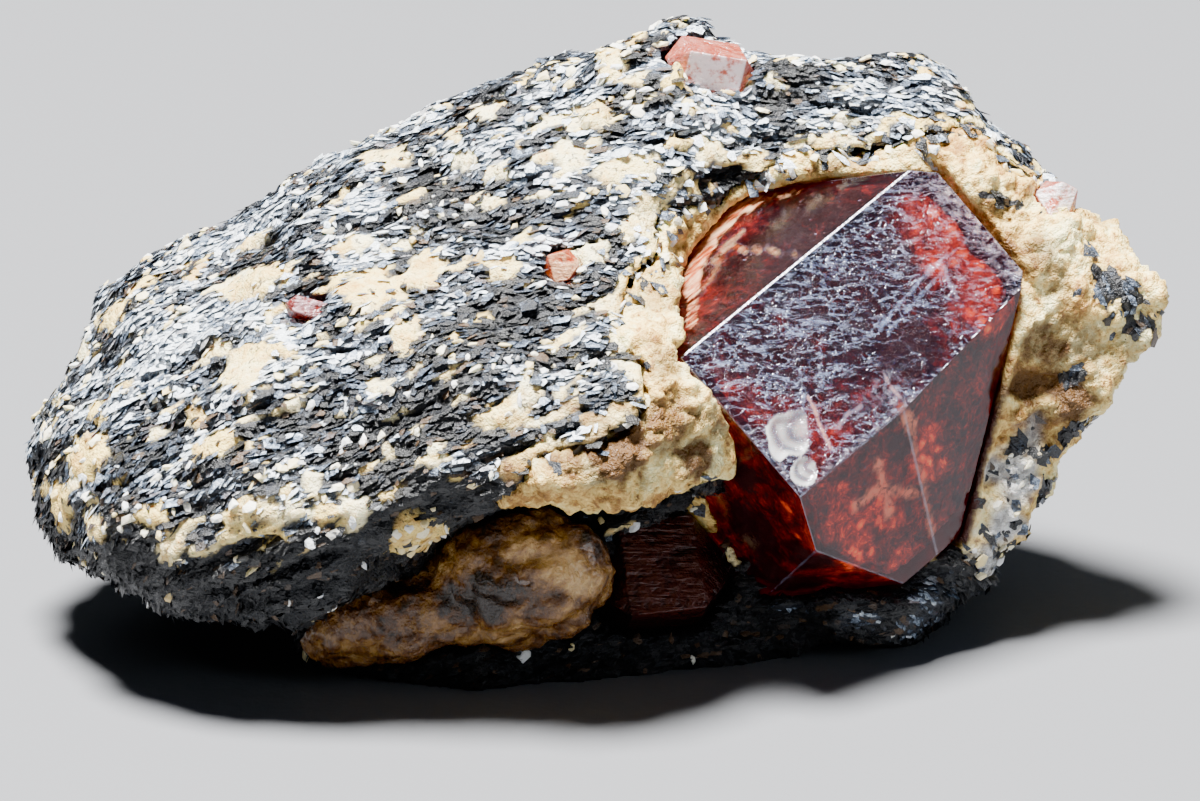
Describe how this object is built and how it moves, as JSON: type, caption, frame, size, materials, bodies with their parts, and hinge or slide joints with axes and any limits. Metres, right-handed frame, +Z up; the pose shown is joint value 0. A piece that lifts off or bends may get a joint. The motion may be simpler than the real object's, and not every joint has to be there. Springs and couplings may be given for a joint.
{
  "type": "mineral specimen",
  "caption": "Natural mineral specimen: a large red zircon crystal in feldspar on a rough block of black biotite mica, resting on a flat foot.",
  "frame": {"origin": "on the flat foot that the block rests on, under the middle of the block", "axes": "+X along the length towards the end with the large crystal, -Y out of the side that shows the large crystal, +Z up"},
  "size_m": [0.0518, 0.0292, 0.0271],
  "materials": {
    "biotite": "glittering black mica flakes with cream feldspar grains",
    "feldspar": "rough sugary cream to tan feldspar",
    "stained_feldspar": "brown-stained, slightly translucent feldspar",
    "red_zircon": "clear deep red crystal with a high gloss",
    "pink_zircon": "pink, partly clouded crystal with a high gloss"
  },
  "bodies": {
    "root": {"biotite_matrix": "biotite", "feldspar_vein": "feldspar", "feldspar_lump": "stained_feldspar", "zircon_main": "red_zircon", "zircon_top": "pink_zircon", "zircon_right": "pink_zircon", "zircon_mid": "red_zircon", "zircon_sliver": "red_zircon", "zircon_lower": "red_zircon"}
  },
  "joints": []
}
